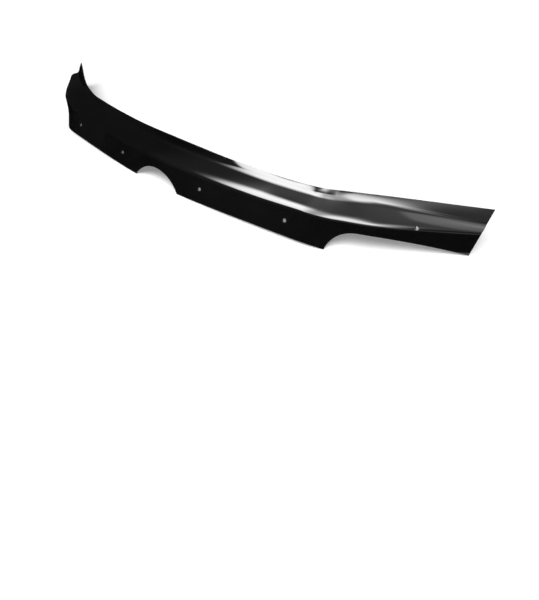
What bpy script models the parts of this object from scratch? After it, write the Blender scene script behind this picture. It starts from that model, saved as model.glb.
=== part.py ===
"""Hood bug deflector, in metres, +Z up.

One sheet of gloss black acrylic, formed over the front edge of a hood. It runs along X with its
front towards -Y, and stands on the corners of its lower edge. Its section has a steep lower face,
a crease, a shelf that runs back, a valley and a lip that flares up. Towards each end the section
swings round with the wing and the shelf narrows.

Only the right half is shaped, by lofting sections along the foot line. It is then mirrored,
given its thickness and drilled. The foot line is where the lower face would meet the ground
if nothing were trimmed from it, and "along" is the distance on it from the middle.
"""

import math

import bmesh
import bpy
from mathutils import Vector

# Sheet
SHEET_THICKNESS = 0.003

# Foot line, seen from above: a shallow front arc, a corner arc and a straight wing
FRONT_RADIUS = 2.85
CORNER_ALONG = 0.400
CORNER_RADIUS = 0.155
WING_SWEEP = math.radians(36.8)

# End cut: it meets the foot line at this half width, leans outwards and is turned a little
# from front to back towards square with the wing
END_HALF_WIDTH = 0.6837
END_SLANT = math.radians(13.9)
END_YAW = math.radians(7.7)

# Stretch over which the sections swing from straight back to square with the wing
SWING_BEFORE_CORNER = 0.052
SWING_PAST_CORNER = 0.130

# Places of the sections that the sheet is given: the middle, the quarter, and past the start of
# the corner arc the corner, the wing and the end
QUARTER_ALONG = 0.290
SECTIONS_PAST_CORNER = (0.040, 0.160, 0.344)

# Corners of the outer face in those sections: setback from the foot line, and height
CREASE_SETBACKS = (0.0125, 0.0300, 0.0210, -0.0075, -0.0100)
CREASE_HEIGHTS = (0.0660, 0.0625, 0.0700, 0.0675, 0.0605)
VALLEY_SETBACKS = (0.0760, 0.0840, 0.0765, 0.0465, 0.0190)
VALLEY_HEIGHTS = (0.0705, 0.0685, 0.0755, 0.0815, 0.0645)
TOP_SETBACKS = (0.0800, 0.1020, 0.0880, 0.0575, 0.0325)
TOP_HEIGHTS = (0.0915, 0.0760, 0.0885, 0.0970, 0.0920)

# Rounding of the section's two bends: how far it reaches down and up from the corner
CREASE_REACH_DOWN = 0.0095
CREASE_REACH_UP = 0.0170
VALLEY_REACH_DOWN = 0.0080
VALLEY_REACH_UP = 0.0070
BEND_SHARE = 0.42  # the most of a face that the rounding at one of its ends takes up

# Notch in the middle of the lower edge, an arc
NOTCH_WIDTH = 0.151
NOTCH_HEIGHT = 0.039

# Lower edge between the notch and the outer corner: it lifts off the ground up to a peak
OUTER_CORNER_PAST_CORNER = 0.0635
FRONT_PEAK_PAST_CORNER = 0.005
FRONT_PEAK_HEIGHT = 0.006

# Arch under each wing: a steep round flank, then a curve that falls ever faster to the end
ARCH_HEIGHT = 0.041
ARCH_FLANK_RADIUS = 0.064
ARCH_FALL_POWER = 1.5

# Screw holes
HOLE_DIAMETER = 0.008
INNER_HOLE_ALONG = 0.1415
INNER_HOLE_HEIGHT = 0.0325
OUTER_HOLE_BEFORE_CORNER = 0.032
OUTER_HOLE_HEIGHT = 0.0345
WING_HOLE_FROM_END = 0.109
WING_HOLE_HEIGHT = 0.064

# Facets of each stretch along the half sheet, and across its section
NOTCH_STEPS = 7
FRONT_STEPS = 16
CORNER_STEPS = 5
FLANK_STEPS = 9
WING_STEPS = 14
FACE_STEPS = 2
BEND_STEPS = 4
HOLE_STEPS = 20

# Rounds of the search for the end cut, each several times closer than the last
CUT_TRIES = 12

# The drills reach past both faces of the sheet by this much
DRILL_OVERRUN = 0.010


def arc_end(start, heading, radius, turn):
    """End of an arc that leaves a point of the plan with a heading and turns to the left."""
    leaving = Vector((math.sin(heading), -math.cos(heading)))
    arriving = Vector((math.sin(heading + turn), -math.cos(heading + turn)))
    return start + (arriving - leaving) * radius


def foot_point(along):
    """Point of the foot line, seen from above."""
    front_turn = min(along, CORNER_ALONG) / FRONT_RADIUS
    point = arc_end(Vector((0.0, 0.0)), 0.0, FRONT_RADIUS, front_turn)
    corner_turn = min(max(along - CORNER_ALONG, 0.0) / CORNER_RADIUS, WING_SWEEP - front_turn)
    point = arc_end(point, front_turn, CORNER_RADIUS, corner_turn)
    wing_length = max(along - corner_end_along(), 0.0)
    return point + Vector((math.cos(WING_SWEEP), math.sin(WING_SWEEP))) * wing_length


def corner_end_along():
    """Place where the corner arc runs into the straight wing."""
    return CORNER_ALONG + CORNER_RADIUS * (WING_SWEEP - CORNER_ALONG / FRONT_RADIUS)


def end_along():
    """Place where the foot line reaches the end cut."""
    corner = corner_end_along()
    return corner + (END_HALF_WIDTH - foot_point(corner).x) / math.cos(WING_SWEEP)


def eased(share):
    """Smooth step from 0 to 1."""
    share = min(max(share, 0.0), 1.0)
    return share * share * (3.0 - 2.0 * share)


def section_heading(along):
    """Angle by which the section at a place has swung from straight back."""
    swung = along - CORNER_ALONG + SWING_BEFORE_CORNER
    return WING_SWEEP * eased(swung / (SWING_BEFORE_CORNER + SWING_PAST_CORNER))


def hermite(share, first, last, first_slope, last_slope):
    """Cubic between two values with given slopes."""
    square, cube = share ** 2, share ** 3
    return ((2 * cube - 3 * square + 1) * first + (cube - 2 * square + share) * first_slope
            + (3 * square - 2 * cube) * last + (cube - square) * last_slope)


def section_size(values, along):
    """One size of the section, on a smooth curve that the left half mirrors."""
    places = [-QUARTER_ALONG, 0.0, QUARTER_ALONG]
    places += [CORNER_ALONG + past for past in SECTIONS_PAST_CORNER]
    values = (values[1],) + values
    slopes = [0.0] * len(places)
    for i in range(1, len(places) - 1):
        slopes[i] = (values[i + 1] - values[i - 1]) / (places[i + 1] - places[i - 1])
    slopes[-1] = (values[-1] - values[-2]) / (places[-1] - places[-2])
    if along >= places[-1]:
        return values[-1] + slopes[-1] * (along - places[-1])
    i = max(k for k in range(1, len(places) - 1) if places[k] <= along)
    span = places[i + 1] - places[i]
    return hermite((along - places[i]) / span, values[i], values[i + 1],
                   slopes[i] * span, slopes[i + 1] * span)


def section_corners(along):
    """Foot, crease, valley and top of the outer face, as setback and height."""
    return (Vector((0.0, 0.0)),
            Vector((section_size(CREASE_SETBACKS, along), section_size(CREASE_HEIGHTS, along))),
            Vector((section_size(VALLEY_SETBACKS, along), section_size(VALLEY_HEIGHTS, along))),
            Vector((section_size(TOP_SETBACKS, along), section_size(TOP_HEIGHTS, along))))


def notch_edge(along):
    """Height of the notch's arc."""
    radius = (NOTCH_WIDTH ** 2 / 4 + NOTCH_HEIGHT ** 2) / (2 * NOTCH_HEIGHT)
    return NOTCH_HEIGHT - radius + math.sqrt(radius ** 2 - along ** 2)


def outer_corner_along():
    """Place of the lower edge's outer corner, where the arch begins."""
    return CORNER_ALONG + OUTER_CORNER_PAST_CORNER


def front_edge(along):
    """Height of the two parabolas that rise from the notch and the outer corner to the peak."""
    peak = CORNER_ALONG + FRONT_PEAK_PAST_CORNER
    foot = NOTCH_WIDTH / 2 if along < peak else outer_corner_along()
    return FRONT_PEAK_HEIGHT * (1 - ((along - peak) / (foot - peak)) ** 2)


def crown_along():
    """Place of the arch's highest point, its crown."""
    drop = ARCH_HEIGHT - ARCH_FLANK_RADIUS
    return outer_corner_along() + math.sqrt(ARCH_FLANK_RADIUS ** 2 - drop ** 2)


def arch_edge(along):
    """Height of the arch under the wing."""
    past_crown = along - crown_along()
    if past_crown < 0:
        return ARCH_HEIGHT - ARCH_FLANK_RADIUS + math.sqrt(ARCH_FLANK_RADIUS ** 2 - past_crown ** 2)
    share = past_crown / (end_along() - crown_along())
    return ARCH_HEIGHT * (1 - share ** ARCH_FALL_POWER)


def lower_edge(along):
    """Height at which the lower face is trimmed."""
    if along < NOTCH_WIDTH / 2:
        return notch_edge(along)
    if along < outer_corner_along():
        return front_edge(along)
    return arch_edge(along)


def straight(start, end, steps):
    """Points from a start up to, but without, an end."""
    return [start.lerp(end, i / steps) for i in range(steps)]


def bend(start, corner, end):
    """Points of the curve that rounds a corner, without its end."""
    shares = [i / BEND_STEPS for i in range(BEND_STEPS)]
    return [start.lerp(corner, t).lerp(corner.lerp(end, t), t) for t in shares]


def towards(corner, other, reach):
    """Point at a reach from a corner, which a narrow face limits."""
    face = other - corner
    return corner + face * min(reach / face.length, BEND_SHARE)


def profile(along):
    """Outer face of the section at a place, from the trimmed lower edge to the top."""
    foot, crease, valley, top = section_corners(along)
    start = foot.lerp(crease, lower_edge(along) / crease.y)
    crease_in = towards(crease, foot, CREASE_REACH_DOWN)
    crease_out = towards(crease, valley, CREASE_REACH_UP)
    valley_in = towards(valley, crease, VALLEY_REACH_DOWN)
    valley_out = towards(valley, top, VALLEY_REACH_UP)
    return (straight(start, crease_in, FACE_STEPS) + bend(crease_in, crease, crease_out)
            + straight(crease_out, valley_in, FACE_STEPS) + bend(valley_in, valley, valley_out)
            + straight(valley_out, top, FACE_STEPS) + [top])


def on_sheet(along, setback, height):
    """Place of a section's point in the part."""
    heading = section_heading(along)
    back = Vector((-math.sin(heading), math.cos(heading)))
    plan = foot_point(along) + back * setback
    return Vector((plan.x, plan.y, height))


def sheet_point(along, index):
    """Point of the outer face that has an index in the profile at a place."""
    return on_sheet(along, *profile(along)[index])


def end_cut_along(index):
    """Place where the sheet's line of points with an index in the profile meets the end cut."""
    along = end_along()
    foot = foot_point(along)
    for _ in range(CUT_TRIES):
        point = sheet_point(along, index)
        cut = END_HALF_WIDTH + point.z * math.tan(END_SLANT) - (point.y - foot.y) * math.tan(END_YAW)
        along += (cut - point.x) * math.cos(WING_SWEEP)
    return along


def loft_places():
    """Places of the sections from the middle up to, but without, the crown of the arch."""
    stretches = ((0.0, NOTCH_WIDTH / 2, NOTCH_STEPS),
                 (NOTCH_WIDTH / 2, CORNER_ALONG, FRONT_STEPS),
                 (CORNER_ALONG, outer_corner_along(), CORNER_STEPS),
                 (outer_corner_along(), crown_along(), FLANK_STEPS))
    return [start + (end - start) * i / steps
            for start, end, steps in stretches for i in range(steps)]


def sheet_rows():
    """Points of the half sheet, section by section; past the crown they fan out to the end cut."""
    for along in loft_places():
        yield [on_sheet(along, *point) for point in profile(along)]
    crown = crown_along()
    ends = [end_cut_along(index) for index in range(len(profile(crown)))]
    for i in range(WING_STEPS + 1):
        share = i / WING_STEPS
        yield [sheet_point(crown + (end - crown) * share, index) for index, end in enumerate(ends)]


def half_sheet_mesh():
    """Outer face of the right half, lofted from its sections."""
    shape = bmesh.new()
    rows = [[shape.verts.new(point) for point in row] for row in sheet_rows()]
    for row, next_row in zip(rows, rows[1:]):
        for i in range(len(row) - 1):
            shape.faces.new((row[i], next_row[i], next_row[i + 1], row[i + 1]))
    mesh = bpy.data.meshes.new("deflector_shield")
    shape.to_mesh(mesh)
    shape.free()
    mesh.shade_smooth()
    return mesh


def sheet_normal(along, height):
    """Point of the outer face at a height, and the direction square to it."""
    def point(place, level):
        outline = profile(place)
        for low, high in zip(outline, outline[1:]):
            if level <= high.y:
                share = (level - low.y) / (high.y - low.y)
                return on_sheet(place, *low.lerp(high, share))
        return on_sheet(place, *outline[-1])

    nudge = SHEET_THICKNESS / 2
    here = point(along, height)
    sideways = point(along + nudge, height) - point(along - nudge, height)
    upwards = point(along, height + nudge) - point(along, height - nudge)
    return here, sideways.cross(upwards).normalized()


def acrylic():
    """Gloss black acrylic."""
    material = bpy.data.materials.new("gloss_black_acrylic")
    material.use_nodes = True
    shader = material.node_tree.nodes["Principled BSDF"]
    shader.inputs["Base Color"].default_value = (0.006, 0.006, 0.007, 1.0)
    shader.inputs["Metallic"].default_value = 0.0
    shader.inputs["Roughness"].default_value = 0.06
    shader.inputs["IOR"].default_value = 1.49
    return material


def add_object(name, mesh):
    """Object in the scene that shows a mesh."""
    made = bpy.data.objects.new(name, mesh)
    bpy.context.scene.collection.objects.link(made)
    return made


def drill(shield, name, side, along, height):
    """Cut one screw hole square to the sheet, on the side of the middle given by a sign."""
    point, normal = sheet_normal(along, height)
    point.x *= side
    normal.x *= side
    shape = bmesh.new()
    bmesh.ops.create_cone(shape, cap_ends=True, segments=HOLE_STEPS,
                          radius1=HOLE_DIAMETER / 2, radius2=HOLE_DIAMETER / 2,
                          depth=2 * (SHEET_THICKNESS + DRILL_OVERRUN))
    mesh = bpy.data.meshes.new(name)
    shape.to_mesh(mesh)
    shape.free()
    cutter = add_object(name, mesh)
    cutter.location = point
    cutter.rotation_mode = "QUATERNION"
    cutter.rotation_quaternion = normal.to_track_quat("Z", "Y")
    cutter.parent = shield
    cutter.hide_render = True
    cutter.display_type = "WIRE"
    cut = shield.modifiers.new(name, "BOOLEAN")
    cut.operation = "DIFFERENCE"
    cut.solver = "EXACT"
    cut.object = cutter


def deflector_shield():
    """The whole sheet: mirrored, thickened to the inside and drilled."""
    shield = add_object("deflector_shield", half_sheet_mesh())
    shield.data.materials.append(acrylic())
    mirror = shield.modifiers.new("other_half", "MIRROR")
    mirror.use_axis = (True, False, False)
    mirror.merge_threshold = 0.0001
    solid = shield.modifiers.new("thickness", "SOLIDIFY")
    solid.thickness = SHEET_THICKNESS
    solid.offset = -1.0
    solid.use_even_offset = True
    holes = (("inner_hole", INNER_HOLE_ALONG, INNER_HOLE_HEIGHT),
             ("outer_hole", CORNER_ALONG - OUTER_HOLE_BEFORE_CORNER, OUTER_HOLE_HEIGHT),
             ("wing_hole", end_along() - WING_HOLE_FROM_END, WING_HOLE_HEIGHT))
    for name, along, height in holes:
        for side, side_name in ((1, "right"), (-1, "left")):
            drill(shield, f"{side_name}_{name}", side, along, height)
    return shield


def stand_on_ground(shield):
    """Put the middle of the part's box over the origin, and its lowest point on the ground."""
    bpy.context.view_layer.update()
    shown = shield.evaluated_get(bpy.context.evaluated_depsgraph_get())
    corners = [Vector(corner) for corner in shown.bound_box]
    low = Vector([min(corner[i] for corner in corners) for i in range(3)])
    high = Vector([max(corner[i] for corner in corners) for i in range(3)])
    middle = (low + high) / 2
    shield.location = (-middle.x, -middle.y, -low.z)
    bpy.context.view_layer.update()


def main():
    for old in list(bpy.data.objects):
        bpy.data.objects.remove(old, do_unlink=True)
    stand_on_ground(deflector_shield())


main()
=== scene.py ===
"""Looks of the hood bug deflector: one finely formed sheet of gloss black acrylic on white paper.

The sheet is modelled again from the same sizes as its solid, with close facets, a rounded rim
and six drilled holes, so that its reflections run as smoothly as on the real one. "along" is the
distance on the foot line from the middle, negative on the left, and "place" runs from 0 at the
lower edge to 5 at the top, with one unit for each stretch of the section.
"""

import math

import bpy
import numpy as np
from mathutils import Matrix, Vector


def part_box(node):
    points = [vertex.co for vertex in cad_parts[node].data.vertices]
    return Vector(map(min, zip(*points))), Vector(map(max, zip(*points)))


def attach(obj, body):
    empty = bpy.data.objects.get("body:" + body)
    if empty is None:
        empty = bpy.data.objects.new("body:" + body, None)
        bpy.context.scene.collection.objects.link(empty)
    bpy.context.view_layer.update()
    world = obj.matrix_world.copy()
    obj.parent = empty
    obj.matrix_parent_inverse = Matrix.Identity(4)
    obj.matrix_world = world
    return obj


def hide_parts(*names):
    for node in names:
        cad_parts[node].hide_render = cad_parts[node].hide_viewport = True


NODE = "deflector_shield"

# Sheet
SHEET_THICKNESS = 0.003
RIM_ROUNDING = 0.0005

# Foot line
FRONT_RADIUS = 2.85
CORNER_ALONG = 0.400
CORNER_RADIUS = 0.155
WING_SWEEP = math.radians(36.8)
FRONT_TURN = CORNER_ALONG / FRONT_RADIUS
CORNER_END_ALONG = CORNER_ALONG + CORNER_RADIUS * (WING_SWEEP - FRONT_TURN)

# End cut: slanted outwards, and turned a little from front to back
END_HALF_WIDTH = 0.6837
END_SLANT = math.radians(13.9)
END_YAW = math.radians(7.7)
CUT_TRIES = 12

# Stretch over which the sections swing round with the wing
SWING_START = 0.348
SWING_END = 0.530

# Section sizes at the quarter on the left, the middle, the quarter, the corner, the wing, the end,
# and the place value of the top edge
PLACES = np.array((-0.290, 0.000, 0.290, 0.440, 0.560, 0.744))
CREASE_BACK = np.array((0.0300, 0.0125, 0.0300, 0.0210, -0.0075, -0.0100))
CREASE_HEIGHT = np.array((0.0625, 0.0660, 0.0625, 0.0700, 0.0675, 0.0605))
VALLEY_BACK = np.array((0.0840, 0.0760, 0.0840, 0.0765, 0.0465, 0.0190))
VALLEY_HEIGHT = np.array((0.0685, 0.0705, 0.0685, 0.0755, 0.0815, 0.0645))
TOP_BACK = np.array((0.1020, 0.0800, 0.1020, 0.0880, 0.0575, 0.0325))
TOP_HEIGHT = np.array((0.0760, 0.0915, 0.0760, 0.0885, 0.0970, 0.0920))
TOP_PLACE = 5.0

# Faint crown of the shelf and of the lip: how far the corners of their curves stand off the sheet
SHELF_CROWN = np.array((0.0002, 0.0014, 0.0002, -0.0006, 0.0011, 0.0014))
LIP_CROWN = np.array((0.0021, -0.0017, 0.0021, 0.0006, -0.0011, 0.0013))

# Rounding of the two bends, and the largest share of a narrow face that a bend takes up
CREASE_REACH_DOWN = 0.0095
CREASE_REACH_UP = 0.0170
VALLEY_REACH_DOWN = 0.0080
VALLEY_REACH_UP = 0.0070
BEND_SHARE = 0.42

# Steps over which the direction of the sheet is measured
NUDGE_ALONG = 0.0004
NUDGE_PLACE = 0.02

# Lower edge
NOTCH_WIDTH = 0.151
NOTCH_HEIGHT = 0.039
OUTER_CORNER_ALONG = 0.4635
FRONT_PEAK_ALONG = 0.405
FRONT_PEAK_HEIGHT = 0.006
ARCH_HEIGHT = 0.041
ARCH_FLANK_RADIUS = 0.064
ARCH_FALL_POWER = 1.5
CROWN_ALONG = OUTER_CORNER_ALONG + math.sqrt(
    ARCH_FLANK_RADIUS ** 2 - (ARCH_HEIGHT - ARCH_FLANK_RADIUS) ** 2)

# Screw holes, by their distance along and their height
HOLE_RADIUS = 0.004
HOLE_CHAMFER = 0.0003
INNER_HOLE_ALONG, INNER_HOLE_HEIGHT = 0.1415, 0.0325
OUTER_HOLE_ALONG, OUTER_HOLE_HEIGHT = 0.368, 0.0345
WING_HOLE_FROM_END, WING_HOLE_HEIGHT = 0.109, 0.064

# Patch of the mesh round a hole, the place that all holes lie under, and how often the two
# searches for a hole's outline halve their range
HOLE_PATCH = 0.0090
HOLE_RINGS = 5
HOLE_PLACE_LIMIT = 2.5
PLACE_HALVINGS = 40
SHARE_HALVINGS = 30

# Facets of each stretch along the half sheet, and across its section
NOTCH_STEPS = 32
FRONT_STEPS = 130
CORNER_STEPS = 26
FLANK_STEPS = 30
WING_STEPS = 84
ACROSS_STEPS = (20, 12, 12, 10, 8)
RIM_STEPS = 3

# Photograph: its height and the lens in pixels, and the row that the camera looks at level
FRAME_HEIGHT = 600
LENS_PIXELS = 550.0
CENTRE_ROW = 179.25
SENSOR = 36.0
CAMERA_PLACE = Vector((0.9511, -0.8181, 0.6536))
CAMERA_AHEAD = Vector((-0.56934, 0.66004, -0.49011))
CLIP_NEAR, CLIP_FAR = 0.02, 100.0

# Part of a noise's values that is stretched over a range
NOISE_LOW, NOISE_HIGH = 0.3, 0.7

# Acrylic: its refraction, the two blacks and the roughness that it drifts between, its waviness
ACRYLIC_REFRACTION = 1.49
FACE_BLACKS = ((0.0034, 0.0034, 0.0038, 1.0), (0.0054, 0.0054, 0.0058, 1.0))
FACE_ROUGHNESS = (0.035, 0.065)
TINT_SCALE = 9.0
GLOSS_SCALE, GLOSS_DETAIL = 30.0, 4.0
WAVE_SCALE = 14.0
WAVE_STRENGTH = 0.06
WAVE_HEIGHT = 0.0006

# Polished edge of the sheet
EDGE_BLACK = (0.012, 0.012, 0.013, 1.0)
EDGE_ROUGHNESS = (0.18, 0.34)
EDGE_SCALE, EDGE_DETAIL = 400.0, 3.0

# Paper under the sheet: its half width, its two whites and the lift that brings them to full white
PAPER_REACH = 8.0
PAPER_WHITES = ((0.93, 0.93, 0.93, 1.0), (0.95, 0.95, 0.95, 1.0))
PAPER_ROUGHNESS = 0.9
PAPER_SCALE = 3.0
PAPER_LIFT = 0.25

# Black card before the sheet, seen only in the gloss, which puts a painted dark reflection in the
# lower face in place of the lit paper: its colour, its gap to the foot line, its height, the points of
# its border along the half sheet, and how far it reaches out
CARD_REFLECTION_BLACK = (0.004, 0.004, 0.004, 1.0)
CARD_GAP = 0.007
CARD_HEIGHT = 0.0005
CARD_STEPS = 60
CARD_REACH = 400.0

# Overhead softbox, in parts that add up. Each has its brightness and its borders: the direction
# into the light, how far along that direction the border lies, and how soft it is. The main
# panel is brighter on its left and on its right than between them.
SOFTBOX_PLACE = Vector((0.0, -0.133, 0.751))
SOFTBOX_REACH = 400.0
CEILING_GLOW = 0.02
MAIN_PANEL = (((0.783, 1.0, 0.0), -0.475, 0.040), ((-0.689, -1.0, 0.0), -0.341, 0.062),
              ((1.0, 0.070, 0.0), -0.213, 0.033), ((-1.0, 1.795, 0.0), -2.089, 0.312))
SOFTBOX_PARTS = (
    (0.10, (((1.0, 0.0, 0.0), -0.75, 0.10),)),
    (0.40, (((1.0, 0.0, 0.0), 1.35, 0.10), ((0.0, -1.0, 0.0), 0.75, 0.10))),
    (7.50, MAIN_PANEL),
    (14.5, MAIN_PANEL + (((-1.0, 0.0, 0.0), -0.02, 0.050),)),
    (14.5, MAIN_PANEL + (((1.0, 0.0, 0.0), 0.34, 0.035),)),
    (0.76, (((1.0, 1.357, 0.0), 0.803, 0.098), ((-0.693, 1.0, 0.0), -0.830, 0.021))),
    (5.50, (((1.0, 0.0, 0.0), 0.72, 0.025), ((-1.0, 0.0, 0.0), -0.98, 0.030),
            ((0.0, 1.0, 0.0), -0.40, 0.040), ((-0.4, -1.0, 0.0), -0.38, 0.040))),
    (1.27, (((0.765, 1.0, 0.0), 0.994, 0.015), ((1.0, -0.013, 0.0), -0.497, 0.084))))

# Light that the room itself gives, against the white at which it is seen
ROOM_LIGHT = 0.04

# Sun, as wide as a soft lamp: its strength, its width, its tilt and its turn to the camera's side
SUN_STRENGTH = 3.15
SUN_WIDTH = math.radians(36)
SUN_TILT = math.radians(34)
SUN_TURN = math.radians(30)

# Sockets of the node that mixes two colours
MIX_SHARE, MIX_FIRST, MIX_SECOND, MIX_RESULT = 0, 6, 7, 2


def foot_point(along):
    """Foot line seen from above, for along values from 0 up."""
    front = np.minimum(along, CORNER_ALONG) / FRONT_RADIUS
    x = FRONT_RADIUS * np.sin(front)
    y = FRONT_RADIUS * (1.0 - np.cos(front))
    corner = np.clip((along - CORNER_ALONG) / CORNER_RADIUS, 0.0, WING_SWEEP - FRONT_TURN)
    x = x + CORNER_RADIUS * (np.sin(front + corner) - np.sin(front))
    y = y + CORNER_RADIUS * (np.cos(front) - np.cos(front + corner))
    wing = np.maximum(along - CORNER_END_ALONG, 0.0)
    return x + math.cos(WING_SWEEP) * wing, y + math.sin(WING_SWEEP) * wing


END_ALONG = CORNER_END_ALONG + (
    (END_HALF_WIDTH - float(foot_point(CORNER_END_ALONG)[0])) / math.cos(WING_SWEEP))
END_FOOT_BACK = float(foot_point(END_ALONG)[1])
HOLES = ((INNER_HOLE_ALONG, INNER_HOLE_HEIGHT), (OUTER_HOLE_ALONG, OUTER_HOLE_HEIGHT),
         (END_ALONG - WING_HOLE_FROM_END, WING_HOLE_HEIGHT))


def section_size(values, along):
    """One size of the section, on a smooth curve through its values."""
    slopes = np.zeros(len(PLACES))
    slopes[1:-1] = (values[2:] - values[:-2]) / (PLACES[2:] - PLACES[:-2])
    slopes[-1] = (values[-1] - values[-2]) / (PLACES[-1] - PLACES[-2])
    i = np.clip(np.searchsorted(PLACES, along, side="right") - 1, 1, len(PLACES) - 2)
    span = PLACES[i + 1] - PLACES[i]
    t = np.minimum((along - PLACES[i]) / span, 1.0)
    curve = ((2 * t ** 3 - 3 * t ** 2 + 1) * values[i] + (t ** 3 - 2 * t ** 2 + t) * slopes[i] * span
             + (3 * t ** 2 - 2 * t ** 3) * values[i + 1] + (t ** 3 - t ** 2) * slopes[i + 1] * span)
    return curve + slopes[-1] * np.maximum(along - PLACES[-1], 0.0)


def lower_edge(along):
    """Height at which the lower face is trimmed."""
    radius = (NOTCH_WIDTH ** 2 / 4 + NOTCH_HEIGHT ** 2) / (2 * NOTCH_HEIGHT)
    notch = NOTCH_HEIGHT - radius + np.sqrt(np.maximum(radius ** 2 - along ** 2, 0.0))
    foot = np.where(along < FRONT_PEAK_ALONG, NOTCH_WIDTH / 2, OUTER_CORNER_ALONG)
    front = FRONT_PEAK_HEIGHT * (1 - ((along - FRONT_PEAK_ALONG) / (foot - FRONT_PEAK_ALONG)) ** 2)
    past = along - CROWN_ALONG
    flank = (ARCH_HEIGHT - ARCH_FLANK_RADIUS
             + np.sqrt(np.maximum(ARCH_FLANK_RADIUS ** 2 - past ** 2, 0.0)))
    share = np.maximum(past, 0.0) / (END_ALONG - CROWN_ALONG)
    arch = np.where(past < 0, flank, ARCH_HEIGHT * (1 - share ** ARCH_FALL_POWER))
    return np.where(along < NOTCH_WIDTH / 2, notch, np.where(along < OUTER_CORNER_ALONG, front, arch))


def length(vector):
    """Length of each vector, kept as a last dimension."""
    return np.linalg.norm(vector, axis=-1, keepdims=True)


def towards(corner, aim, reach, face):
    """Point at a reach from a corner, which the width of a narrow face limits."""
    return corner + (aim - corner) / length(aim - corner) * np.minimum(reach, BEND_SHARE * face)


def stood_off(first, last, point, height):
    """Point moved out of the sheet, square to the line between two others."""
    line = (last - first) / length(last - first)
    return point + np.stack((-line[..., 1], line[..., 0]), -1) * height[..., None]


def section_point(along, place):
    """Setback and height of the outer face."""
    crease = np.stack((section_size(CREASE_BACK, along), section_size(CREASE_HEIGHT, along)), -1)
    valley = np.stack((section_size(VALLEY_BACK, along), section_size(VALLEY_HEIGHT, along)), -1)
    top = np.stack((section_size(TOP_BACK, along), section_size(TOP_HEIGHT, along)), -1)
    foot = np.zeros_like(crease)
    start = crease * (lower_edge(along) / crease[..., 1])[..., None]
    shelf_crown = stood_off(crease, valley, (crease + valley) / 2, section_size(SHELF_CROWN, along))
    lip_aim = stood_off(valley, top, top, section_size(LIP_CROWN, along))
    shelf = length(valley - crease)
    crease_in = towards(crease, foot, CREASE_REACH_DOWN, length(crease))
    crease_out = towards(crease, shelf_crown, CREASE_REACH_UP, shelf)
    valley_in = towards(valley, shelf_crown, VALLEY_REACH_DOWN, shelf)
    valley_out = towards(valley, lip_aim, VALLEY_REACH_UP, length(lip_aim - valley))
    stretch = np.clip(np.floor(place), 0, TOP_PLACE - 1)[..., None]
    t = place[..., None] - stretch

    def straight(first, last):
        return first + (last - first) * t

    def bend(first, corner, last):
        return (1 - t) ** 2 * first + 2 * t * (1 - t) * corner + t ** 2 * last

    return np.select(
        [stretch == 0, stretch == 1, stretch == 2, stretch == 3],
        [straight(start, crease_in), bend(crease_in, crease, crease_out),
         bend(crease_out, shelf_crown, valley_in), bend(valley_in, valley, valley_out)],
        bend(valley_out, (valley_out + lip_aim) / 2, top))


def sheet_point(along, place):
    """Point of the outer face, with the foot line's middle at the origin."""
    along, place = np.broadcast_arrays(np.asarray(along, float), np.asarray(place, float))
    side = np.where(along < 0, -1.0, 1.0)
    along = np.abs(along)
    section = section_point(along, place)
    share = np.clip((along - SWING_START) / (SWING_END - SWING_START), 0.0, 1.0)
    heading = WING_SWEEP * share * share * (3.0 - 2.0 * share)
    x, y = foot_point(along)
    return np.stack((side * (x - np.sin(heading) * section[..., 0]),
                     y + np.cos(heading) * section[..., 0], section[..., 1]), -1)


def sheet_normal(along, place):
    """Direction square to the outer face."""
    along, place = np.broadcast_arrays(np.asarray(along, float), np.asarray(place, float))
    sideways = sheet_point(along + NUDGE_ALONG, place) - sheet_point(along - NUDGE_ALONG, place)
    upwards = (sheet_point(along, np.minimum(place + NUDGE_PLACE, TOP_PLACE))
               - sheet_point(along, np.maximum(place - NUDGE_PLACE, 0.0)))
    square = np.cross(sideways, upwards)
    return square / np.linalg.norm(square, axis=-1, keepdims=True)


def face_point(along, place, depth):
    """Point under the outer face at a depth in the sheet."""
    return sheet_point(along, place) - depth * sheet_normal(along, place)


def across_places():
    """Place values of the columns."""
    return np.concatenate([k + np.arange(steps) / steps for k, steps in enumerate(ACROSS_STEPS)]
                          + [[TOP_PLACE]])


def along_grid(places):
    """Along values of every row and column; past the arch's crown the rows fan to the end cut."""
    stretches = ((0.0, NOTCH_WIDTH / 2, NOTCH_STEPS), (NOTCH_WIDTH / 2, CORNER_ALONG, FRONT_STEPS),
                 (CORNER_ALONG, OUTER_CORNER_ALONG, CORNER_STEPS),
                 (OUTER_CORNER_ALONG, CROWN_ALONG, FLANK_STEPS))
    rows = np.concatenate([np.linspace(a, b, n, endpoint=False) for a, b, n in stretches])
    ends = np.full(len(places), END_ALONG)
    for _ in range(CUT_TRIES):
        point = sheet_point(ends, places)
        cut = (END_HALF_WIDTH + point[:, 2] * math.tan(END_SLANT)
               - (point[:, 1] - END_FOOT_BACK) * math.tan(END_YAW))
        ends = ends + (cut - point[:, 0]) * math.cos(WING_SWEEP)
    shares = np.linspace(0.0, 1.0, WING_STEPS + 1)[:, None]
    right = np.vstack((np.repeat(rows[:, None], len(places), axis=1),
                       CROWN_ALONG + (ends[None, :] - CROWN_ALONG) * shares))
    return np.vstack((-right[:0:-1], right))


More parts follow.
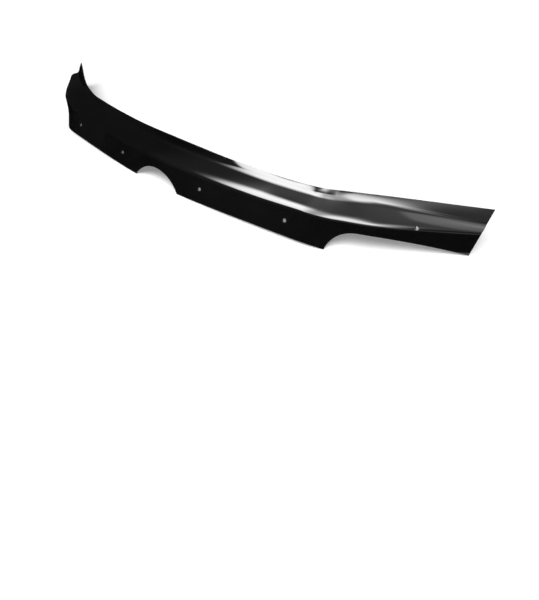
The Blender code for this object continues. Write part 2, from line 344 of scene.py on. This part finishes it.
class SheetMesh:
    """Points, their normals and the faces of the sheet, as they are added."""

    def __init__(self):
        self.points = []
        self.normals = []
        self.faces = []
        self.rim_faces = []
        self.count = 0

    def add(self, points, normals):
        """Add an array of points and give back their numbers in the same layout."""
        shape = points.shape[:-1]
        self.points.append(points.reshape(-1, 3))
        self.normals.append(np.broadcast_to(normals, points.shape).reshape(-1, 3))
        numbers = self.count + np.arange(int(np.prod(shape))).reshape(shape)
        self.count += numbers.size
        return numbers

    def band(self, first, second, rim=True):
        """Faces between two closed rows of point numbers."""
        faces = np.stack((np.roll(first, -1), first, second, np.roll(second, -1)), -1)
        (self.rim_faces if rim else self.faces).append(faces)


def loop_numbers(numbers):
    """Numbers round the border of a grid, anticlockwise from its first corner."""
    return np.concatenate((numbers[:-1, 0], numbers[-1, :-1], numbers[:0:-1, -1], numbers[0, :0:-1]))


def border_outward(points, normals):
    """Direction out of the sheet at each point of its border, longer where the outline turns."""
    step = np.roll(points, -1, axis=0) - points
    out_next = np.cross(step, normals)
    out_next /= np.linalg.norm(out_next, axis=1, keepdims=True)
    out_last = np.roll(out_next, 1, axis=0)
    return (out_last + out_next) / (1.0 + (out_last * out_next).sum(1, keepdims=True))


def hole_place(along, height):
    """Place value of a hole's centre."""
    low, high = 0.0, HOLE_PLACE_LIMIT
    for _ in range(PLACE_HALVINGS):
        middle = (low + high) / 2
        if sheet_point(along, middle)[2] < height:
            low = middle
        else:
            high = middle
    return (low + high) / 2


def hole_block(grid, places, along, place):
    """Rows and columns of the square of the grid that a hole's patch takes the place of."""
    centre = sheet_point(along, place)
    row_gap = np.linalg.norm(sheet_point(grid[:, 0], place) - centre, axis=1)
    column_gap = np.linalg.norm(sheet_point(along, places) - centre, axis=1)
    rows = np.where(row_gap < HOLE_PATCH)[0]
    columns = np.where(column_gap < HOLE_PATCH)[0]
    return rows[0], rows[-1], max(columns[0], 1), columns[-1]


def hole_shares(border, centre, depth, pivot, axis, radius):
    """Share of the way from the centre to each border point at which the radius is met."""
    low, high = np.zeros(len(border)), np.ones(len(border))
    for _ in range(SHARE_HALVINGS):
        middle = (low + high) / 2
        at = centre + (border - centre) * middle[:, None]
        arm = face_point(at[:, 0], at[:, 1], depth) - pivot
        gap = np.linalg.norm(arm - (arm @ axis)[:, None] * axis, axis=1)
        low, high = np.where(gap < radius, middle, low), np.where(gap < radius, high, middle)
    return (low + high) / 2


def hole_face(mesh, border_numbers, border, centre, depth, outward, pivot, axis):
    """Patch of one face round a hole, and the numbers and points of its chamfer's outer ring."""
    shares = hole_shares(border, centre, depth, pivot, axis, HOLE_RADIUS + HOLE_CHAMFER)
    last = border_numbers
    for ring in range(1, HOLE_RINGS + 1):
        share = 1.0 + (shares - 1.0) * ring / HOLE_RINGS
        at = centre + (border - centre) * share[:, None]
        points = face_point(at[:, 0], at[:, 1], depth)
        numbers = mesh.add(points, outward * sheet_normal(at[:, 0], at[:, 1]))
        if outward > 0:
            mesh.band(numbers, last, rim=False)
        else:
            mesh.band(last, numbers, rim=False)
        last = numbers
    return last, points


def hole_ring(mesh, points, pivot, axis, sink):
    """Ring on the hole's wall, at a distance along the axis from a ring of the chamfer."""
    level = ((points - pivot) @ axis)[:, None]
    arm = points - pivot - level * axis
    arm /= np.linalg.norm(arm, axis=1, keepdims=True)
    return mesh.add(pivot + arm * HOLE_RADIUS + (level - sink) * axis, -arm)


def add_hole(mesh, block, grid, places, along, place, outer, inner):
    """One drilled hole with its patches on both faces."""
    first_row, last_row, first_column, last_column = block
    part = (slice(first_row, last_row + 1), slice(first_column, last_column + 1))
    border = np.stack((loop_numbers(grid[part]),
                       loop_numbers(np.broadcast_to(places, grid.shape)[part])), -1)
    centre = np.array((along, place))
    pivot = sheet_point(along, place)
    axis = sheet_normal(along, place)
    top, top_points = hole_face(mesh, loop_numbers(outer[part]), border, centre, 0.0, 1.0, pivot, axis)
    base, base_points = hole_face(mesh, loop_numbers(inner[part]), border, centre, SHEET_THICKNESS,
                                  -1.0, pivot, axis)
    wall_top = hole_ring(mesh, top_points, pivot, axis, HOLE_CHAMFER)
    wall_base = hole_ring(mesh, base_points, pivot, axis, -HOLE_CHAMFER)
    mesh.band(wall_top, top)
    mesh.band(wall_base, wall_top)
    mesh.band(base, wall_base)


def add_rim(mesh, border, outer_numbers, inner_numbers, points, normals, outward):
    """Rounded rim that joins the borders of the two faces."""
    turns = np.linspace(0.0, math.pi / 2, RIM_STEPS + 1)[1:]
    rings = [outer_numbers]
    for depth_sign in (1.0, -1.0):
        for turn in (turns if depth_sign > 0 else turns[::-1]):
            sink = RIM_ROUNDING * (1 - math.cos(turn))
            depth = sink if depth_sign > 0 else SHEET_THICKNESS - sink
            at = points - outward * RIM_ROUNDING * (1 - math.sin(turn)) - normals * depth
            facing = normals * math.cos(turn) * depth_sign + outward * math.sin(turn)
            facing /= np.linalg.norm(facing, axis=1, keepdims=True)
            rings.append(mesh.add(at, facing))
    rings.append(inner_numbers)
    for ring, next_ring in zip(rings, rings[1:]):
        mesh.band(ring, next_ring)


def sheet_mesh():
    """The whole sheet as one closed mesh, with the setback of its front and the height of its top."""
    places = across_places()
    grid = along_grid(places)
    place_grid = np.broadcast_to(places, grid.shape)
    points = sheet_point(grid, place_grid)
    normals = sheet_normal(grid, place_grid)
    numbers = np.arange(grid.size).reshape(grid.shape)
    border = loop_numbers(numbers)
    flat_points, flat_normals = points.reshape(-1, 3), normals.reshape(-1, 3)
    border_points, border_normals = flat_points[border].copy(), flat_normals[border]
    outward = border_outward(border_points, border_normals)
    flat_points[border] = border_points - outward * RIM_ROUNDING

    mesh = SheetMesh()
    outer = mesh.add(points, normals)
    inner = mesh.add(points - SHEET_THICKNESS * normals, -normals)
    open_cells = np.zeros((grid.shape[0] - 1, grid.shape[1] - 1), bool)
    for along, height in HOLES:
        place = hole_place(along, height)
        for side in (1, -1):
            block = hole_block(grid, places, side * along, place)
            open_cells[block[0]:block[1], block[2]:block[3]] = True
            add_hole(mesh, block, grid, places, side * along, place, outer, inner)
    add_rim(mesh, border, outer.ravel()[border], inner.ravel()[border],
            border_points, border_normals, outward)
    for face, flip in ((outer, False), (inner, True)):
        corners = np.stack((face[:-1, :-1], face[1:, :-1], face[1:, 1:], face[:-1, 1:]), -1)
        corners = corners[~open_cells]
        mesh.faces.append(corners[:, ::-1] if flip else corners)
    return mesh, border_points[:, 1].min(), border_points[:, 2].max()


def sheet_object(mesh, shift):
    """Object of the finished mesh, with the normals of the true surface."""
    faces = np.vstack([part.reshape(-1, 4) for part in mesh.faces])
    rim = np.vstack([part.reshape(-1, 4) for part in mesh.rim_faces])
    data = bpy.data.meshes.new("formed_sheet")
    data.from_pydata((np.vstack(mesh.points) + shift).tolist(), [], np.vstack((faces, rim)).tolist())
    data.polygons.foreach_set("material_index", [0] * len(faces) + [1] * len(rim))
    data.shade_smooth()
    data.normals_split_custom_set_from_vertices(np.vstack(mesh.normals).tolist())
    made = bpy.data.objects.new("formed_sheet", data)
    bpy.context.scene.collection.objects.link(made)
    return made


def new_material(name):
    """Material with a Principled shader, and a function that adds nodes to it."""
    material = bpy.data.materials.new(name)
    material.use_nodes = True
    tree = material.node_tree

    def node(kind, **values):
        made = tree.nodes.new(kind)
        for key, value in values.items():
            if key in made.inputs:
                made.inputs[key].default_value = value
            else:
                setattr(made, key, value)
        return made

    return material, tree, node, tree.nodes["Principled BSDF"]


def noise(tree, node, scale, detail=2.0):
    """Noise in the object's own coordinates."""
    place = node("ShaderNodeTexCoord")
    made = node("ShaderNodeTexNoise", Scale=scale, Detail=detail)
    tree.links.new(place.outputs["Object"], made.inputs["Vector"])
    return made.outputs["Fac"]


def mapped(tree, node, value, low, high):
    """A noise value brought into a range."""
    made = node("ShaderNodeMapRange")
    made.inputs["From Min"].default_value = NOISE_LOW
    made.inputs["From Max"].default_value = NOISE_HIGH
    made.inputs["To Min"].default_value = low
    made.inputs["To Max"].default_value = high
    tree.links.new(value, made.inputs["Value"])
    return made.outputs["Result"]


def math_node(tree, operation, first, second=0.0):
    """Result of a calculation on two values, each a number or another node's output."""
    made = tree.nodes.new("ShaderNodeMath")
    made.operation = operation
    for socket, value in zip(made.inputs, (first, second)):
        if isinstance(value, (int, float)):
            socket.default_value = value
        else:
            tree.links.new(value, socket)
    return made.outputs["Value"]


def clouded(tree, node, scale, first, second):
    """Colour that drifts between two others."""
    made = node("ShaderNodeMix", data_type="RGBA")
    made.inputs[MIX_FIRST].default_value = first
    made.inputs[MIX_SECOND].default_value = second
    tree.links.new(mapped(tree, node, noise(tree, node, scale), 0.0, 1.0), made.inputs[MIX_SHARE])
    return made.outputs[MIX_RESULT]


def acrylic():
    """Gloss black acrylic with the faint waviness of a formed sheet."""
    material, tree, node, shader = new_material("gloss_black_acrylic")
    shader.inputs["IOR"].default_value = ACRYLIC_REFRACTION
    tree.links.new(clouded(tree, node, TINT_SCALE, *FACE_BLACKS), shader.inputs["Base Color"])
    gloss = noise(tree, node, GLOSS_SCALE, GLOSS_DETAIL)
    tree.links.new(mapped(tree, node, gloss, *FACE_ROUGHNESS), shader.inputs["Roughness"])
    wave = node("ShaderNodeBump", Strength=WAVE_STRENGTH, Distance=WAVE_HEIGHT)
    tree.links.new(noise(tree, node, WAVE_SCALE), wave.inputs["Height"])
    tree.links.new(wave.outputs["Normal"], shader.inputs["Normal"])
    return material


def cut_edge():
    """Cut and polished edge of the same sheet, a little duller than its faces."""
    material, tree, node, shader = new_material("polished_edge")
    shader.inputs["IOR"].default_value = ACRYLIC_REFRACTION
    shader.inputs["Base Color"].default_value = EDGE_BLACK
    gloss = noise(tree, node, EDGE_SCALE, EDGE_DETAIL)
    tree.links.new(mapped(tree, node, gloss, *EDGE_ROUGHNESS), shader.inputs["Roughness"])
    return material


def seen_or_mirrored(tree):
    """One on the rays that show a thing to the camera, and zero on those that light others."""
    ray = tree.nodes.new("ShaderNodeLightPath").outputs
    seen = math_node(tree, "MAXIMUM", ray["Is Camera Ray"], ray["Is Glossy Ray"])
    return math_node(tree, "MAXIMUM", seen, ray["Is Transmission Ray"])


def paper():
    """White paper, lifted to full white where it is seen and where it is mirrored."""
    material, tree, node, shader = new_material("white_paper")
    shader.inputs["Roughness"].default_value = PAPER_ROUGHNESS
    shader.inputs["Specular IOR Level"].default_value = 0.0
    shader.inputs["Emission Color"].default_value = (1.0, 1.0, 1.0, 1.0)
    tree.links.new(clouded(tree, node, PAPER_SCALE, *PAPER_WHITES), shader.inputs["Base Color"])
    tree.links.new(math_node(tree, "MULTIPLY", seen_or_mirrored(tree), PAPER_LIFT),
                   shader.inputs["Emission Strength"])
    return material


def add_plane(name, corners, material, walls=(), height=0.0):
    """Flat piece of the stage, with walls up to a height over the edges that start at some corners."""
    count = len(corners)
    faces = [tuple(range(count))]
    raised = []
    for first in walls:
        second = (first + 1) % count
        top = count + len(raised)
        raised += [corners[second][:2] + (height,), corners[first][:2] + (height,)]
        faces.append((first, second, top, top + 1))
    data = bpy.data.meshes.new(name)
    data.from_pydata(corners + raised, [], faces)
    data.materials.append(material)
    made = bpy.data.objects.new(name, data)
    bpy.context.scene.collection.objects.link(made)
    return made


def floor():
    """Floor with the white paper on it."""
    reach = PAPER_REACH
    corners = [(-reach, -reach, 0), (reach, -reach, 0), (reach, reach, 0), (-reach, reach, 0)]
    add_plane("paper", corners, paper())


def mirrored_only(stage_piece):
    """Let a piece of the stage show in the gloss of the sheet and nowhere else."""
    stage_piece.visible_camera = False
    stage_piece.visible_diffuse = False
    stage_piece.visible_transmission = False
    stage_piece.visible_shadow = False


def dark_reflection_card(shift):
    """Card seen only in the gloss: a painted dark reflection that the lower face mirrors in place of
    the paper, with far walls up to the softbox.
    """
    material, _, _, shader = new_material("dark_reflection_card")
    shader.inputs["Base Color"].default_value = CARD_REFLECTION_BLACK
    shader.inputs["Roughness"].default_value = 1.0
    shader.inputs["Specular IOR Level"].default_value = 0.0
    along = np.append(np.linspace(0.0, END_ALONG, CARD_STEPS), CARD_REACH)
    x, y = foot_point(along)
    turn = np.arctan2(np.gradient(y, along), np.gradient(x, along))
    x, y = x + CARD_GAP * np.sin(turn), y + shift[1] - CARD_GAP * np.cos(turn)
    right = [(across, back, 0.0) for across, back in zip(x.tolist(), y.tolist())]
    left = [(-across, back, 0.0) for across, back, _ in right[:0:-1]]
    front = [(right[-1][0], -CARD_REACH, 0.0), (-right[-1][0], -CARD_REACH, 0.0)]
    corners = left + right + front
    right_end = len(left) + len(right) - 1
    walls = (right_end, right_end + 1, right_end + 2)
    made = add_plane("dark_reflection_card", corners, material, walls, SOFTBOX_PLACE.z)
    made.location = (0.0, 0.0, CARD_HEIGHT)
    mirrored_only(made)


def lit_within(tree, place, borders, glow):
    """Brightness that fades out across each of the borders."""
    for direction, start, softness in borders:
        reach = tree.nodes.new("ShaderNodeVectorMath")
        reach.operation = "DOT_PRODUCT"
        reach.inputs[1].default_value = direction
        tree.links.new(place, reach.inputs[0])
        outside = math_node(tree, "SUBTRACT", start, reach.outputs["Value"])
        fading = math_node(tree, "EXPONENT", math_node(tree, "DIVIDE", outside, softness))
        glow = math_node(tree, "DIVIDE", glow, math_node(tree, "ADD", fading, 1.0))
    return glow


def softbox():
    """Large overhead softbox that shows in the gloss: bright panels on a dim ceiling."""
    material = bpy.data.materials.new("softbox")
    material.use_nodes = True
    tree = material.node_tree
    tree.nodes.clear()
    place = tree.nodes.new("ShaderNodeTexCoord").outputs["Object"]
    total = CEILING_GLOW
    for glow, borders in SOFTBOX_PARTS:
        total = math_node(tree, "ADD", total, lit_within(tree, place, borders, glow))
    glow = tree.nodes.new("ShaderNodeEmission")
    tree.links.new(total, glow.inputs["Strength"])
    out = tree.nodes.new("ShaderNodeOutputMaterial")
    tree.links.new(glow.outputs[0], out.inputs["Surface"])
    reach = SOFTBOX_REACH
    corners = [(-reach, -reach, 0), (-reach, reach, 0), (reach, reach, 0), (reach, -reach, 0)]
    made = add_plane("softbox", corners, material)
    made.location = SOFTBOX_PLACE
    mirrored_only(made)


def lights():
    """Soft light from above the camera's side, which the gloss doesn't show, and a white room."""
    sun = bpy.data.objects.new("overhead", bpy.data.lights.new("overhead", "SUN"))
    sun.data.energy = SUN_STRENGTH
    sun.data.angle = SUN_WIDTH
    sun.rotation_euler = (SUN_TILT, 0.0, SUN_TURN)
    sun.visible_glossy = False
    bpy.context.scene.collection.objects.link(sun)
    world = bpy.data.worlds.new("room")
    world.use_nodes = True
    tree = world.node_tree
    white = math_node(tree, "MAXIMUM", seen_or_mirrored(tree), ROOM_LIGHT)
    tree.links.new(white, tree.nodes["Background"].inputs["Strength"])
    tree.nodes["Background"].inputs["Color"].default_value = (1.0, 1.0, 1.0, 1.0)
    bpy.context.scene.world = world


def camera():
    """Camera of the photograph, upright, with its picture cropped below the lens's centre."""
    ahead = CAMERA_AHEAD.normalized()
    right = ahead.cross(Vector((0, 0, 1))).normalized()
    up = right.cross(ahead)
    data = bpy.data.cameras.new("camera")
    data.sensor_width = SENSOR
    data.lens = SENSOR * LENS_PIXELS / FRAME_HEIGHT
    data.shift_y = (CENTRE_ROW - FRAME_HEIGHT / 2) / FRAME_HEIGHT
    data.clip_start, data.clip_end = CLIP_NEAR, CLIP_FAR
    made = bpy.data.objects.new("camera", data)
    turned = Matrix((right, up, -ahead)).transposed().to_4x4()
    made.matrix_world = Matrix.Translation(CAMERA_PLACE) @ turned
    bpy.context.scene.collection.objects.link(made)
    bpy.context.scene.camera = made


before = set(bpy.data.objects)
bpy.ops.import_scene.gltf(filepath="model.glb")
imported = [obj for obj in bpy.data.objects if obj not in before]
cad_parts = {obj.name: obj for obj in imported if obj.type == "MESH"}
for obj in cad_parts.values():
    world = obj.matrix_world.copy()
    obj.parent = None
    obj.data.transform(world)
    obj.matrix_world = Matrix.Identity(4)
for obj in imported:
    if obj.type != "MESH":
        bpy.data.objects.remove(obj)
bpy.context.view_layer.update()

# The sheet moves from its foot line's middle to where its solid lies
solid_low, solid_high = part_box(NODE)
sheet_data, sheet_front, sheet_top = sheet_mesh()
shift = np.array((0.0, solid_low[1] - sheet_front, solid_high[2] - sheet_top))
formed_sheet = sheet_object(sheet_data, shift)
formed_sheet.data.materials.append(acrylic())
formed_sheet.data.materials.append(cut_edge())
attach(formed_sheet, "root")
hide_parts(NODE)

# The shelf mirrors the softbox alone, and not the lip that stands over it
formed_sheet.visible_glossy = False

floor()
# Painted dark reflection: a card that only the gloss of the lower face shows
dark_reflection_card(shift)
softbox()
lights()
camera()
bpy.context.scene.view_settings.view_transform = "Standard"
